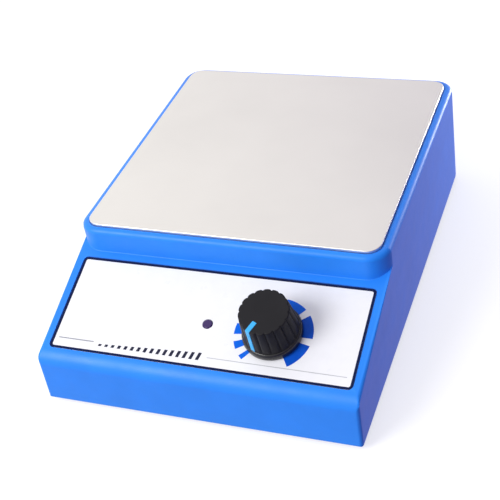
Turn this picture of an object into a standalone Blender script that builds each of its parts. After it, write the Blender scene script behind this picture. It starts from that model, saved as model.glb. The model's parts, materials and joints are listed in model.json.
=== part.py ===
"""Bench magnetic stirrer: a moulded housing with a steel work plate, a sloped speed panel and its drive.

The frame is in metres with +Z up. The origin is on the bench, under the middle of the object, and the front
faces -Y.
"""

import math
from collections import namedtuple

import bmesh
import bpy
from mathutils import Matrix, Vector

MM = 0.001
WORLD = Matrix.Identity(4)
GAP = 0.3 * MM
FINE_GAP = 0.2 * MM
OVERLAP = 1.0 * MM  # how far a shape that is joined on runs into its neighbour

# Housing, outside
BASE_Z = 2.4 * MM
RIM_Z = 48.9 * MM
HALF_WIDTH_BASE = 63.6 * MM
HALF_WIDTH_TOP = 63.4 * MM
HALF_DEPTH_BASE = 87.3 * MM
REAR_TOP_Y = 87.0 * MM
FRONT_DRAFT = 1.2 * MM
REAR_CORNER_RADIUS = 8.5 * MM
PLATFORM_FRONT_Y = -39.2 * MM
PLATFORM_CORNER_RADIUS = 9.0 * MM
RIDGE_ROUNDING = 4.4 * MM
SLOPE_EDGE_ROUNDING = 1.5 * MM
FRONT_CORNER_ROUNDING = 1.5 * MM
RIM_ROUNDING = 2.2 * MM
FOOT_FILLET = 0.3 * MM
BASE_EDGE_ROUNDING = 0.5 * MM

# Housing, inside
WALL = 2.5 * MM
CEILING_Z = 46.3 * MM
INNER_CORNER_RADIUS = 3.0 * MM

# Sloped panel: its frame has its origin at the middle of the white face's lower edge
SLOPE = math.radians(17.55)
PANEL_ORIGIN = Vector((0.0, -80.58 * MM, 25.47 * MM))
PANEL = Matrix.Translation(PANEL_ORIGIN) @ Matrix.Rotation(SLOPE, 4, "X")
FACE_HEIGHT = 38.9 * MM
OVERLAY_WIDTH = 120.0 * MM
OVERLAY_HEIGHT = 41.2 * MM
OVERLAY_THICKNESS = 0.6 * MM
OVERLAY_RECESS = 0.3 * MM
OVERLAY_RADIUS = 1.8 * MM
POCKET_MARGIN = 0.25 * MM

# Work plate
PLATE_SIDE = 120.0 * MM
PLATE_TOP_Z = 50.0 * MM
PLATE_THICKNESS = 1.5 * MM
PLATE_RADIUS = 5.5 * MM
PLATE_EDGE_ROUNDING = 0.25 * MM
AXIS_Y = 23.4 * MM
PLATE_MARGIN = 0.3 * MM

# Screws, each with the radii and heights of its head and shank
Screw = namedtuple("Screw", "head_radius head_height shank_radius length")
COVER_SCREW = Screw(2.8 * MM, 1.6 * MM, 1.35 * MM, 10.0 * MM)
BRACKET_SCREW = Screw(2.8 * MM, 1.6 * MM, 1.3 * MM, 7.0 * MM)
MOTOR_SCREW = Screw(1.9 * MM, 1.2 * MM, 1.0 * MM, 3.0 * MM)
BOARD_SCREW = Screw(2.1 * MM, 1.4 * MM, 1.0 * MM, 6.0 * MM)
PILOT_MARGIN = 0.2 * MM
CLEARANCE = 0.4 * MM

# Base cover, its posts, and the feet
COVER_THICKNESS = 2.0 * MM
FOOT_RADIUS = 7.0 * MM
FOOT_CHAMFER = 0.8 * MM
FOOT_X, FOOT_Y = 42.0 * MM, 70.0 * MM
POST_X, POST_FRONT_Y, POST_REAR_Y = 54.5 * MM, -78.0 * MM, 77.5 * MM
POST_RADIUS = 4.0 * MM
POST_PILOT_TOP = 14.0 * MM

# Knob and potentiometer, on the panel's frame
KNOB_U, KNOB_V = 26.2 * MM, 16.7 * MM
KNOB_TOP = 15.6 * MM
KNOB_BOTTOM = 0.25 * MM
KNOB_TOP_RADIUS = 9.45 * MM
KNOB_WAIST_RADIUS = 10.6 * MM
KNOB_EDGE = 0.3 * MM
SKIRT_RADIUS = 11.45 * MM
SKIRT_TOP = 3.2 * MM
SKIRT_ROUNDING = 0.5 * MM
FLUTES = 18
FLUTE_DEPTH = 0.55 * MM
FLUTE_RADIUS = 0.75 * MM
FLUTE_START = 0.4 * MM  # above the skirt
KNOB_HOLLOW_RADIUS = 7.4 * MM
KNOB_HOLLOW_TOP = 3.5 * MM
POINTER_ANGLE = math.radians(247.0)
POINTER_WIDTH = 1.85 * MM
POINTER_INNER_END = 5.0 * MM
POINTER_PROUD, POINTER_DEPTH = 0.12 * MM, 0.7 * MM
SHAFT_RADIUS = 3.0 * MM
SHAFT_TOP, SHAFT_BOTTOM = 13.2 * MM, -5.5 * MM
SHAFT_FLAT = 2.3 * MM
SHAFT_FLAT_BOTTOM = 3.2 * MM
BUSH_RADIUS = 3.5 * MM
BUSH_TOP = 2.9 * MM
WASHER_RADIUS, WASHER_TOP = 6.0 * MM, 0.4 * MM
POT_NUT_RADIUS, POT_NUT_TOP = 5.6 * MM, 2.7 * MM
POT_TOP = -2.8 * MM
POT_SIZE = Vector((12.0, 12.0, 6.7)) * MM
POT_ROUNDING = 0.4 * MM

# Status lamp
LAMP_U, LAMP_V = 0.1 * MM, 17.2 * MM
LENS_RADIUS = 1.95 * MM
LENS_TOP = -0.05 * MM
LENS_EDGE = 0.35 * MM
LENS_FLANGE_RADIUS, LENS_FLANGE = 2.8 * MM, 0.8 * MM
LED_RADIUS, LED_TOP = 1.5 * MM, -4.0 * MM
LED_RIM = 0.8 * MM

# Control board, on the panel's frame
BOARD_SIZE = Vector((56.0, 30.0, 1.6)) * MM
BOARD_U, BOARD_V = 20.0 * MM, 18.0 * MM
BOARD_TOP = -9.8 * MM
BOARD_SCREW_U, BOARD_SCREW_V = (-4.0 * MM, 44.0 * MM), 29.5 * MM
BOARD_BOSS_RADIUS, BOARD_PILOT_TOP = 2.8 * MM, -3.4 * MM
HEADER_SIZE = Vector((6.0, 5.0, 6.5)) * MM
POWER_HEADER = Vector((-3.0, 9.0)) * MM
MOTOR_HEADER = Vector((7.0, 9.0)) * MM
DRIVER_SIZE, DRIVER = Vector((5.0, 8.0, 1.8)) * MM, Vector((34.0, 10.0)) * MM
MOSFET_SIZE, MOSFET = Vector((10.0, 9.0, 4.4)) * MM, Vector((30.0, 25.0)) * MM
CAPACITOR_RADIUS, CAPACITOR_HEIGHT = 4.0 * MM, 9.0 * MM
CAPACITOR = Vector((14.0, 24.0)) * MM

# Motor: outside
MOTOR_RADIUS = 12.2 * MM
MOTOR_BOTTOM, MOTOR_TOP = 12.2 * MM, 35.2 * MM
CAN_WALL = 1.0 * MM
MOTOR_BOSS_RADIUS, MOTOR_BOSS_TOP = 3.1 * MM, 37.4 * MM
CAP_BOTTOM, CAP_TOP, SPIGOT_TOP = 9.2 * MM, 12.0 * MM, 13.4 * MM

# Motor: inside
BEARING_BORE, BEARING_RADIUS, BEARING_HOLE = 1.1 * MM, 2.2 * MM, 2.4 * MM
AXLE_RADIUS = 1.0 * MM
AXLE_BOTTOM, AXLE_TOP = 10.6 * MM, 44.6 * MM
COMMUTATOR_RADIUS = 2.6 * MM
COMMUTATOR_BOTTOM, COMMUTATOR_TOP = 13.8 * MM, 15.7 * MM
POLES = 3
CORE_BOTTOM, CORE_TOP = 16.0 * MM, 30.0 * MM
CORE_RADIUS, SHOE_INNER, HUB_RADIUS = 8.5 * MM, 6.9 * MM, 3.0 * MM
SHOE_HALF_ANGLE = 46.0
NECK = 2.6 * MM
COIL_RADIUS, COIL_DEPTH, COIL_WIDTH, COIL_END = 4.9 * MM, 2.4 * MM, 5.4 * MM, 1.5 * MM
FIELD_INNER, FIELD_OUTER = 9.1 * MM, 11.0 * MM
FIELD_BOTTOM, FIELD_TOP = 15.0 * MM, 31.0 * MM
FIELD_START, FIELD_END = 25.0, 155.0

# Motor bracket
BRACKET_SIZE = Vector((84.0, 32.0, 1.5)) * MM
BRACKET_CORNER = 4.0 * MM
BRACKET_BOTTOM = 35.4 * MM
BRACKET_BOSS_RADIUS, BRACKET_PILOT_TOP = 3.6 * MM, 44.0 * MM
MOTOR_SCREW_X = 8.0 * MM
BRACKET_SCREW_X, BRACKET_SCREW_Y = 36.0 * MM, 11.0 * MM

# Magnet carrier
CARRIER_LENGTH = 52.0 * MM
CARRIER_WIDTH = 15.0 * MM
CARRIER_BOTTOM, CARRIER_TOP = 39.0 * MM, 45.0 * MM
MAGNET_RADIUS = 6.0 * MM
MAGNET_THICKNESS = 4.0 * MM
MAGNET_X = 18.5 * MM
GRUB_RADIUS, GRUB_INSET = 1.5 * MM, 1.0 * MM
GRUB_SOCKET_RADIUS, GRUB_SOCKET_DEPTH = 0.7 * MM, 1.2 * MM

# Supply socket in the rear wall
JACK_X, JACK_Z = -34.0 * MM, 18.0 * MM
JACK_FACE_Y = 86.9 * MM
JACK_RECESS = 1.7 * MM
JACK_PAD_RADIUS, JACK_PAD_DEPTH = 8.0 * MM, 4.4 * MM
JACK_FLANGE_RADIUS, JACK_FACE = 5.6 * MM, -0.1 * MM
JACK_BARREL_RADIUS, JACK_END = 3.9 * MM, -12.0 * MM
JACK_BORE_RADIUS, JACK_BORE_END = 2.8 * MM, -9.0 * MM
JACK_NUT_RADIUS, JACK_NUT_HEIGHT = 6.8 * MM, 2.5 * MM
PIN_RADIUS, PIN_TIP_RADIUS, PIN_TIP = 1.0 * MM, 0.6 * MM, 0.7 * MM
PIN_INSET = 1.5 * MM

# Internal leads
LEAD_RADIUS = 0.75 * MM
LEAD_SPACING = 1.3 * MM
LEAD_FLOOR_Z = 7.4 * MM
LEAD_END_GAP = 0.4 * MM

# Frames and levels that follow from the sizes above
KNOB = PANEL @ Matrix.Translation((KNOB_U, KNOB_V, 0.0))
LAMP = PANEL @ Matrix.Translation((LAMP_U, LAMP_V, 0.0))
AXIS = Matrix.Translation((0.0, AXIS_Y, 0.0))
JACK = Matrix.Translation((JACK_X, JACK_FACE_Y, JACK_Z)) @ Matrix.Rotation(math.radians(-90), 4, "X")
COVER_TOP = BASE_Z + COVER_THICKNESS
BRACKET_TOP = BRACKET_BOTTOM + BRACKET_SIZE.z
BOARD_BOTTOM = BOARD_TOP - BOARD_SIZE.z
PARTS_LEVEL = BOARD_BOTTOM - FINE_GAP
FRONT_INNER_Y = FRONT_DRAFT / 2 + WALL - HALF_DEPTH_BASE
LEAD_START = PARTS_LEVEL - HEADER_SIZE.z - LEAD_RADIUS
REAR_INNER_Y = REAR_TOP_Y - WALL
HALF_INNER_WIDTH = HALF_WIDTH_TOP - WALL


def clear_scene():
    for obj in list(bpy.data.objects):
        bpy.data.objects.remove(obj, do_unlink=True)


def new_collection(name):
    collection = bpy.data.collections.new(name)
    bpy.context.scene.collection.children.link(collection)
    return collection


def look(name, color, roughness, metallic=0.0):
    """A plain Principled material."""
    material = bpy.data.materials.new(name)
    material.use_nodes = True
    shader = material.node_tree.nodes["Principled BSDF"]
    shader.inputs["Base Color"].default_value = (*color, 1.0)
    shader.inputs["Roughness"].default_value = roughness
    shader.inputs["Metallic"].default_value = metallic
    return material


clear_scene()
PARTS = new_collection("magnetic_stirrer")
CUTTERS = new_collection("cutters")

BLUE_PLASTIC = look("blue_plastic", (0.03, 0.22, 0.92), 0.42)
BLACK_PLASTIC = look("black_plastic", (0.02, 0.02, 0.022), 0.5)
GREY_PLASTIC = look("grey_plastic", (0.25, 0.26, 0.28), 0.5)
WHITE_FILM = look("white_film", (0.9, 0.91, 0.94), 0.35)
POINTER_BLUE = look("pointer_blue", (0.05, 0.5, 0.95), 0.4)
LAMP_PLASTIC = look("lamp_plastic", (0.06, 0.03, 0.12), 0.2)
RUBBER = look("rubber", (0.03, 0.03, 0.03), 0.8)
BRUSHED_STEEL = look("brushed_steel", (0.62, 0.6, 0.57), 0.35, 1.0)
ZINC_STEEL = look("zinc_steel", (0.6, 0.61, 0.62), 0.3, 1.0)
NICKEL = look("nickel", (0.75, 0.74, 0.7), 0.2, 1.0)
BRASS = look("brass", (0.72, 0.52, 0.22), 0.3, 1.0)
COPPER = look("copper", (0.75, 0.35, 0.2), 0.35, 1.0)
FERRITE = look("ferrite", (0.08, 0.08, 0.085), 0.7)
BOARD_GREEN = look("board_green", (0.02, 0.2, 0.08), 0.4)
RED_WIRE = look("red_wire", (0.6, 0.02, 0.02), 0.45)
BLACK_WIRE = look("black_wire", (0.02, 0.02, 0.02), 0.45)


# ---------------------------------------------------------------- shapes added to a bmesh


def add_cylinder(bm, radius, low, high, frame=WORLD, at=(0.0, 0.0), sides=24):
    """A cylinder along the frame's Z, from low to high."""
    bmesh.ops.create_cone(
        bm,
        cap_ends=True,
        segments=sides,
        radius1=radius,
        radius2=radius,
        depth=high - low,
        matrix=frame @ Matrix.Translation((at[0], at[1], (low + high) / 2)),
    )


def add_box(bm, size, centre, frame=WORLD, corner_radius=0.0, segments=4):
    """A box whose edges along the frame's Z are rounded by corner_radius."""
    place = frame @ Matrix.Translation(centre) @ Matrix.Diagonal((*size, 1.0))
    verts = bmesh.ops.create_cube(bm, size=1.0, matrix=place)["verts"]
    if corner_radius:
        upright = frame.to_3x3() @ Vector((0.0, 0.0, 1.0))
        round_upright_edges(bm, verts, upright, corner_radius, segments)


def round_upright_edges(bm, verts, upright, radius, segments):
    inside = set(verts)
    edges = [
        edge
        for edge in {e for v in verts for e in v.link_edges}
        if set(edge.verts) <= inside
        and abs((edge.verts[0].co - edge.verts[1].co).normalized().dot(upright)) > 0.99
    ]
    bmesh.ops.bevel(bm, geom=edges, offset=radius, segments=segments, profile=0.5, affect="EDGES")


def add_prism(bm, outline, low, high, frame=WORLD):
    """An anticlockwise outline in the frame's XY plane, between two surfaces that depend on x and y."""
    bottom = [bm.verts.new(frame @ Vector((x, y, low(x, y)))) for x, y in outline]
    top = [bm.verts.new(frame @ Vector((x, y, high(x, y)))) for x, y in outline]
    bm.faces.new(bottom[::-1])
    bm.faces.new(top)
    for i, vert in enumerate(bottom):
        after = (i + 1) % len(outline)
        bm.faces.new((vert, bottom[after], top[after], top[i]))


def add_slab(bm, outline, low, high, frame=WORLD):
    """An outline made as thick as the distance from low to high."""
    add_prism(bm, outline, lambda x, y: low, lambda x, y: high, frame)


def arc(centre, radius, start, end, steps):
    """Points on an arc, with its angles in degrees."""
    angles = [math.radians(start + (end - start) * i / steps) for i in range(steps + 1)]
    return [(centre[0] + radius * math.cos(a), centre[1] + radius * math.sin(a)) for a in angles]


# ---------------------------------------------------------------- objects


def shade(mesh, angle=40.0):
    mesh.shade_smooth()
    mesh.set_sharp_from_angle(angle=math.radians(angle))


def solid(name, bm, material, origin=None):
    """A sub-part from a bmesh. Its origin moves to the given frame, on a joint's axis for a moving piece."""
    mesh = bpy.data.meshes.new(name)
    bm.to_mesh(mesh)
    bm.free()
    obj = bpy.data.objects.new(name, mesh)
    if origin is not None:
        mesh.transform(origin.inverted())
        obj.matrix_world = origin
    mesh.materials.append(material)
    shade(mesh)
    PARTS.objects.link(obj)
    return obj


def helper(name, bm):
    """A hidden shape that a Boolean cuts away or joins on."""
    mesh = bpy.data.meshes.new(name)
    bm.to_mesh(mesh)
    bm.free()
    obj = bpy.data.objects.new(name, mesh)
    obj.hide_render = True
    obj.display_type = "WIRE"
    CUTTERS.objects.link(obj)
    return obj


def combine(target, other, operation, solver="EXACT"):
    modifier = target.modifiers.new(other.name, "BOOLEAN")
    modifier.operation = operation
    modifier.solver = solver
    modifier.object = other


def cut(target, name, bm, solver="EXACT"):
    combine(target, helper(name, bm), "DIFFERENCE", solver)


def join(target, name, bm):
    combine(target, helper(name, bm), "UNION")


def turned(name, profile, material, frame=WORLD, steps=32):
    """A profile of (radius, height) points turned about the frame's Z. It runs down the outer side."""
    mesh = bpy.data.meshes.new(name)
    closed = profile[0][0] > 0.0
    edges = [(i, i + 1) for i in range(len(profile) - 1)] + ([(len(profile) - 1, 0)] if closed else [])
    mesh.from_pydata([(radius, 0.0, height) for radius, height in profile], edges, [])
    obj = bpy.data.objects.new(name, mesh)
    obj.matrix_world = frame
    mesh.materials.append(material)
    screw = obj.modifiers.new("turn", "SCREW")
    screw.steps = steps
    screw.render_steps = steps
    screw.use_merge_vertices = True
    screw.merge_threshold = 0.01 * MM
    PARTS.objects.link(obj)
    applied(obj)
    shade(obj.data)
    return obj


def ring_profile(bore, radius, low, high):
    """The profile of a ring, or of a plain cylinder where the bore is 0."""
    return [(bore, high), (radius, high), (radius, low), (bore, low)]


def soften(obj, width, segments=2, angle=50.0):
    """Rounds the edges sharper than the angle."""
    bevel = obj.modifiers.new("soften", "BEVEL")
    bevel.width = width
    bevel.segments = segments
    bevel.limit_method = "ANGLE"
    bevel.angle_limit = math.radians(angle)


def applied(obj):
    """Replaces the object's mesh by its evaluated mesh, so that its edges can be found."""
    bpy.context.view_layer.update()
    graph = bpy.context.evaluated_depsgraph_get()
    mesh = bpy.data.meshes.new_from_object(obj.evaluated_get(graph))
    obj.modifiers.clear()
    obj.data = mesh


# ---------------------------------------------------------------- housing


def slope_z(y, depth=0.0):
    """Height of the sloped surface at y, or of the surface that lies depth below it."""
    return PANEL_ORIGIN.z + (y - PANEL_ORIGIN.y) * math.tan(SLOPE) - depth / math.cos(SLOPE)


def block_vertex(x, y, z):
    """A corner of the drafted block from the signs of its place."""
    rise = (z + 1) / 2
    half = HALF_WIDTH_BASE + (HALF_WIDTH_TOP - HALF_WIDTH_BASE) * rise
    rear = HALF_DEPTH_BASE + (REAR_TOP_Y - HALF_DEPTH_BASE) * rise
    front = -HALF_DEPTH_BASE + FRONT_DRAFT * rise
    return Vector((x * half, rear if y > 0 else front, BASE_Z + (RIM_Z - BASE_Z) * rise))


def housing_block():
    bm = bmesh.new()
    verts = bmesh.ops.create_cube(bm, size=2.0)["verts"]
    for vert in verts:
        vert.co = block_vertex(*vert.co)
    rear = [vert for vert in bm.verts if vert.co.y > 0]
    round_upright_edges(bm, rear, Vector((0.0, 0.0, 1.0)), REAR_CORNER_RADIUS, 7)
    return bm


def front_cutter():
    """Everything in front of the platform and above the slope."""
    reach, top = 2 * HALF_WIDTH_BASE, 2 * RIM_Z
    overrun = 0.15 * MM
    inset = HALF_WIDTH_TOP + overrun - PLATFORM_CORNER_RADIUS
    corner_y = PLATFORM_FRONT_Y + PLATFORM_CORNER_RADIUS
    outline = [(-reach, -reach), (reach, -reach), (reach, corner_y)]
    outline += arc((inset, corner_y), PLATFORM_CORNER_RADIUS, 0, -90, 8)
    outline += arc((-inset, corner_y), PLATFORM_CORNER_RADIUS, -90, -180, 8)
    outline += [(-reach, corner_y)]
    bm = bmesh.new()
    add_prism(bm, outline, lambda x, y: slope_z(y), lambda x, y: top)
    return bm


def edge_rounding(edge):
    """How far the bevel of a housing edge reaches, by where the edge runs."""
    first, last = (vert.co for vert in edge.verts)
    near, margin = 0.01 * MM, 0.5 * MM
    at_front = max(first.y, last.y) < FRONT_DRAFT - HALF_DEPTH_BASE + near
    if edge.calc_face_angle(0.0) < math.radians(20):
        return 0.0
    if min(first.z, last.z) > RIM_Z - near:
        return RIM_ROUNDING
    if max(first.z, last.z) < BASE_Z + near:
        return BASE_EDGE_ROUNDING
    if at_front:
        return RIDGE_ROUNDING if abs(first.z - last.z) < near else FRONT_CORNER_ROUNDING
    if max(abs(point.z - slope_z(point.y)) for point in (first, last)) > near:
        return 0.0
    if min(first.y, last.y) < FRONT_DRAFT - HALF_DEPTH_BASE:
        return SLOPE_EDGE_ROUNDING
    return FOOT_FILLET if abs(first.x + last.x) / 2 < HALF_WIDTH_TOP - margin else 0.0


def round_housing(obj):
    """A bevel whose width follows edge_rounding."""
    bm = bmesh.new()
    bm.from_mesh(obj.data)
    weight = bm.edges.layers.float.new("bevel_weight_edge")
    for edge in bm.edges:
        edge[weight] = edge_rounding(edge) / RIDGE_ROUNDING
    bm.to_mesh(obj.data)
    bm.free()
    bevel = obj.modifiers.new("rounding", "BEVEL")
    bevel.width = RIDGE_ROUNDING
    bevel.segments = 4
    bevel.limit_method = "WEIGHT"
    bevel.use_clamp_overlap = False


def cavities():
    """The room under the platform and the room under the slope, open at the bottom."""
    low, half = -BASE_Z, HALF_INNER_WIDTH
    front = PLATFORM_FRONT_Y + WALL
    platform = bmesh.new()
    size = (2 * half, REAR_INNER_Y - front, CEILING_Z - low)
    centre = (0.0, (REAR_INNER_Y + front) / 2, (CEILING_Z + low) / 2)
    add_box(platform, size, centre, corner_radius=INNER_CORNER_RADIUS, segments=3)
    wedge = bmesh.new()
    wedge_rear = front + 2 * INNER_CORNER_RADIUS
    corner_x, corner_y = half - INNER_CORNER_RADIUS, FRONT_INNER_Y + INNER_CORNER_RADIUS
    outline = arc((-corner_x, corner_y), INNER_CORNER_RADIUS, 180, 270, 3)
    outline += arc((corner_x, corner_y), INNER_CORNER_RADIUS, 270, 360, 3)
    outline += [(half, wedge_rear), (-half, wedge_rear)]
    add_prism(wedge, outline, lambda x, y: low, lambda x, y: slope_z(y, WALL))
    return platform, wedge


def post_places():
    """Each post under the base cover's screws: name, x, y."""
    for side, x in (("left", -POST_X), ("right", POST_X)):
        for end, y in (("front", POST_FRONT_Y), ("rear", POST_REAR_Y)):
            yield f"{end}_{side}", x, y


def bracket_places():
    for side, x in (("left", -BRACKET_SCREW_X), ("right", BRACKET_SCREW_X)):
        for end, y in (("front", -BRACKET_SCREW_Y), ("rear", BRACKET_SCREW_Y)):
            yield f"{end}_{side}", x, AXIS_Y + y


def pilot(screw):
    """Radius of the hole that a screw's thread bites into."""
    return screw.shank_radius + PILOT_MARGIN


def clearance(screw):
    """Radius of the hole that a screw passes through."""
    return screw.shank_radius + CLEARANCE


def housing_bosses():
    bm = bmesh.new()
    for _, x, y in post_places():
        top = CEILING_Z if y > 0 else slope_z(y, WALL)
        add_cylinder(bm, POST_RADIUS, COVER_TOP + GAP, top + OVERLAP, at=(x, y), sides=20)
    for _, x, y in bracket_places():
        low, high = BRACKET_TOP + FINE_GAP, CEILING_Z + OVERLAP
        add_cylinder(bm, BRACKET_BOSS_RADIUS, low, high, at=(x, y), sides=20)
    for u in BOARD_SCREW_U:
        low, high = BOARD_TOP + GAP, OVERLAP - WALL
        add_cylinder(bm, BOARD_BOSS_RADIUS, low, high, PANEL, (u, BOARD_SCREW_V), sides=16)
    add_cylinder(bm, JACK_PAD_RADIUS, -JACK_PAD_DEPTH, OVERLAP - WALL, JACK, sides=28)
    return bm


def housing_holes():
    """Pilot holes in the bosses, and the holes for the potentiometer, the lamp and the socket."""
    bm = bmesh.new()
    for _, x, y in post_places():
        add_cylinder(bm, pilot(COVER_SCREW), 0.0, POST_PILOT_TOP, at=(x, y), sides=16)
    for _, x, y in bracket_places():
        add_cylinder(bm, pilot(BRACKET_SCREW), MOTOR_TOP, BRACKET_PILOT_TOP, at=(x, y), sides=16)
    for u in BOARD_SCREW_U:
        radius = pilot(BOARD_SCREW)
        add_cylinder(bm, radius, 2 * BOARD_TOP, BOARD_PILOT_TOP, PANEL, (u, BOARD_SCREW_V), sides=12)
    add_cylinder(bm, BUSH_RADIUS + GAP, -2 * WALL, WALL, PANEL, (KNOB_U, KNOB_V), sides=32)
    add_cylinder(bm, LENS_RADIUS + GAP, -2 * WALL, WALL, PANEL, (LAMP_U, LAMP_V), sides=24)
    add_cylinder(bm, JACK_BARREL_RADIUS + GAP, -2 * JACK_PAD_DEPTH, WALL, JACK, sides=28)
    return bm


def jack_recess():
    bm = bmesh.new()
    add_cylinder(bm, JACK_FLANGE_RADIUS + GAP, -JACK_RECESS, WALL, JACK, sides=32)
    return bm


def face_centre(z):
    """The middle of the overlay at height z of the panel's frame."""
    return Vector((0.0, FACE_HEIGHT / 2, z))


def overlay_pocket():
    bm = bmesh.new()
    depth = OVERLAY_RECESS + OVERLAY_THICKNESS + FINE_GAP
    size = (OVERLAY_WIDTH + 2 * POCKET_MARGIN, OVERLAY_HEIGHT + 2 * POCKET_MARGIN, depth + WALL)
    add_box(bm, size, face_centre((WALL - depth) / 2), PANEL, OVERLAY_RADIUS + POCKET_MARGIN, 4)
    return bm


def plate_pocket():
    bm = bmesh.new()
    floor = PLATE_TOP_Z - PLATE_THICKNESS - FINE_GAP
    top = RIM_Z + WALL
    side = PLATE_SIDE + 2 * PLATE_MARGIN
    centre = (0.0, AXIS_Y, (floor + top) / 2)
    add_box(bm, (side, side, top - floor), centre, corner_radius=PLATE_RADIUS + PLATE_MARGIN, segments=6)
    return bm


def make_housing():
    housing = solid("top_housing", housing_block(), BLUE_PLASTIC)
    cut(housing, "front_cutter", front_cutter())
    applied(housing)
    round_housing(housing)
    platform, wedge = cavities()
    cut(housing, "platform_cavity", platform)
    cut(housing, "slope_cavity", wedge)
    join(housing, "housing_bosses", housing_bosses())
    cut(housing, "housing_holes", housing_holes())
    cut(housing, "jack_recess", jack_recess())
    cut(housing, "overlay_pocket", overlay_pocket())
    cut(housing, "plate_pocket", plate_pocket(), "MANIFOLD")
    applied(housing)
    housing.data.materials.clear()
    housing.data.materials.append(BLUE_PLASTIC)
    shade(housing.data)


# ---------------------------------------------------------------- plate, overlay, base


def make_work_plate():
    bm = bmesh.new()
    centre = (0.0, AXIS_Y, PLATE_TOP_Z - PLATE_THICKNESS / 2)
    add_box(bm, (PLATE_SIDE, PLATE_SIDE, PLATE_THICKNESS), centre, corner_radius=PLATE_RADIUS, segments=6)
    plate = solid("work_plate", bm, BRUSHED_STEEL)
    soften(plate, PLATE_EDGE_ROUNDING, 3)


def make_overlay():
    bm = bmesh.new()
    size = (OVERLAY_WIDTH, OVERLAY_HEIGHT, OVERLAY_THICKNESS)
    middle = face_centre(-OVERLAY_RECESS - OVERLAY_THICKNESS / 2)
    add_box(bm, size, middle, PANEL, OVERLAY_RADIUS, 4)
    overlay = solid("panel_overlay", bm, WHITE_FILM)
    holes = bmesh.new()
    add_cylinder(holes, BUSH_RADIUS + GAP, -WALL, WALL, PANEL, (KNOB_U, KNOB_V), sides=32)
    add_cylinder(holes, LENS_RADIUS + FINE_GAP / 2, -WALL, WALL, PANEL, (LAMP_U, LAMP_V), sides=24)
    cut(overlay, "overlay_holes", holes)


def make_base_cover():
    front, rear = FRONT_INNER_Y + GAP, REAR_INNER_Y - GAP
    bm = bmesh.new()
    size = (2 * (HALF_INNER_WIDTH - GAP), rear - front, COVER_THICKNESS)
    centre = (0.0, (front + rear) / 2, BASE_Z + COVER_THICKNESS / 2)
    add_box(bm, size, centre, corner_radius=INNER_CORNER_RADIUS, segments=3)
    cover = solid("base_cover", bm, BLACK_PLASTIC)
    holes = bmesh.new()
    for _, x, y in post_places():
        add_cylinder(holes, clearance(COVER_SCREW), 0.0, 2 * COVER_TOP, at=(x, y), sides=16)
    cut(cover, "cover_holes", holes)


def make_feet():
    for side, x in (("left", -FOOT_X), ("right", FOOT_X)):
        for end, y in (("front", -FOOT_Y), ("rear", FOOT_Y)):
            top = BASE_Z - FINE_GAP
            profile = [
                (0.0, top),
                (FOOT_RADIUS, top),
                (FOOT_RADIUS, FOOT_CHAMFER),
                (FOOT_RADIUS - FOOT_CHAMFER, 0.0),
                (0.0, 0.0),
            ]
            turned(f"foot_{end}_{side}", profile, RUBBER, Matrix.Translation((x, y, 0.0)), 28)


# ---------------------------------------------------------------- fasteners


def make_screw(name, frame, size):
    """A pan-head screw with a cross recess. The frame's Z points along the shank, from under the head."""
    dome = 0.35 * size.head_height
    tip = 0.6 * size.shank_radius
    profile = [
        (0.0, size.length),
        (size.shank_radius - tip, size.length),
        (size.shank_radius, size.length - tip),
        (size.shank_radius, 0.0),
        (size.head_radius, 0.0),
        (size.head_radius, dome - size.head_height),
        (size.head_radius - dome, -size.head_height),
        (0.0, -size.head_height),
    ]
    screw = turned(name, profile, ZINC_STEEL, frame, 12)
    arm, slot = 1.2 * size.head_radius, 0.26 * size.head_radius
    # One arm is a little deeper, so that no two cut faces lie in one plane
    for index, box in enumerate(((arm, slot, size.head_height), (slot, arm, 1.1 * size.head_height))):
        recess = bmesh.new()
        add_box(recess, box, (0.0, 0.0, -size.head_height), frame)
        cut(screw, f"{name}_recess_{index + 1}", recess)


def lift(x, y, z):
    """A frame that stands upright at a point."""
    return Matrix.Translation((x, y, z))


def make_base_screws():
    for place, x, y in post_places():
        make_screw(f"base_screw_{place}", lift(x, y, BASE_Z - FINE_GAP), COVER_SCREW)


# ---------------------------------------------------------------- knob and potentiometer


def side_radius(height):
    """Radius of the knob's tapered body at a height."""
    share = (height - SKIRT_TOP) / (KNOB_TOP - SKIRT_TOP)
    return KNOB_WAIST_RADIUS + (KNOB_TOP_RADIUS - KNOB_WAIST_RADIUS) * share


def pointer_outline(grow):
    """The pointer's section along a radius: a strip on the top and one down the side. Grow widens it."""
    proud, deep = POINTER_PROUD + grow, POINTER_DEPTH + grow
    inner, low = POINTER_INNER_END - grow, SKIRT_TOP + GAP - grow
    return [
        (inner, KNOB_TOP - deep),
        (side_radius(KNOB_TOP) - deep, KNOB_TOP - deep),
        (side_radius(low) - deep, low),
        (side_radius(low) + proud, low),
        (side_radius(KNOB_TOP) + proud, KNOB_TOP + proud),
        (inner, KNOB_TOP + proud),
    ]


def pointer_shape(grow):
    """The outline of the pointer, made as thick as the pointer is wide."""
    # The outline's plane holds the knob's axis and the pointer's direction.
    turn = Matrix.Rotation(POINTER_ANGLE, 4, "Z") @ Matrix.Rotation(math.radians(90), 4, "X")
    bm = bmesh.new()
    half = POINTER_WIDTH / 2 + grow
    add_slab(bm, pointer_outline(grow), -half, half, KNOB @ turn)
    return bm


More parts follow.
